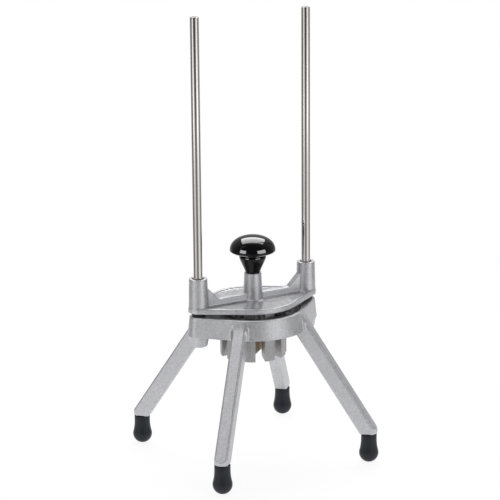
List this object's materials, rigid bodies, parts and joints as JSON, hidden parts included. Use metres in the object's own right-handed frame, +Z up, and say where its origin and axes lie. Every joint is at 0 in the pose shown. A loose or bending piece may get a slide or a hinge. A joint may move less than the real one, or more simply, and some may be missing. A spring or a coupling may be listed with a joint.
{
  "type": "apple slicer wedger press",
  "caption": "Apple slicer wedger press: cast aluminium frame on splayed legs, a pusher head with a black knob sliding on two steel guide rods, and radial blades round a coring tube.",
  "frame": {"origin": "on the table, midway between the four feet, under the axis of the cutter", "axes": "+Z up along the guide rods and the head's travel, X along the pair of rods, -Y towards the front"},
  "size_m": [0.203, 0.203, 0.4857],
  "materials": {
    "cast_aluminium": "satin, finely blasted casting",
    "ground_steel": "ground and polished",
    "cutter_steel": "polished",
    "screw_steel": "plain",
    "bronze": "sintered, satin",
    "rubber": "moulded, satin",
    "knob_plastic": "moulded, glossy"
  },
  "bodies": {
    "base": {"base_frame": "cast_aluminium", "foot_front_left": "rubber", "foot_front_right": "rubber", "foot_back_right": "rubber", "foot_back_left": "rubber", "rod_left": "ground_steel", "rod_right": "ground_steel", "rod_screw_left": "screw_steel", "rod_screw_right": "screw_steel", "bumper_left": "rubber", "bumper_right": "rubber", "blade_ring": "cutter_steel", "ring_screws": "screw_steel", "core_tube": "cutter_steel", "blade_1": "cutter_steel", "blade_2": "cutter_steel", "blade_3": "cutter_steel", "blade_4": "cutter_steel", "blade_5": "cutter_steel", "blade_6": "cutter_steel", "blade_7": "cutter_steel", "blade_8": "cutter_steel", "blade_9": "cutter_steel", "blade_10": "cutter_steel"},
    "pusher": {"head_casting": "cast_aluminium", "bush_left_upper": "bronze", "bush_left_lower": "bronze", "bush_right_upper": "bronze", "bush_right_lower": "bronze", "pusher_block": "cast_aluminium", "block_screws": "screw_steel", "core_plunger": "ground_steel", "knob_stud": "screw_steel", "knob": "knob_plastic"}
  },
  "joints": [
    {"name": "head_slide", "type": "slide", "parent": "base", "child": "pusher", "axis": [0, 0, 1], "range_m": [0, 0.275]}
  ]
}
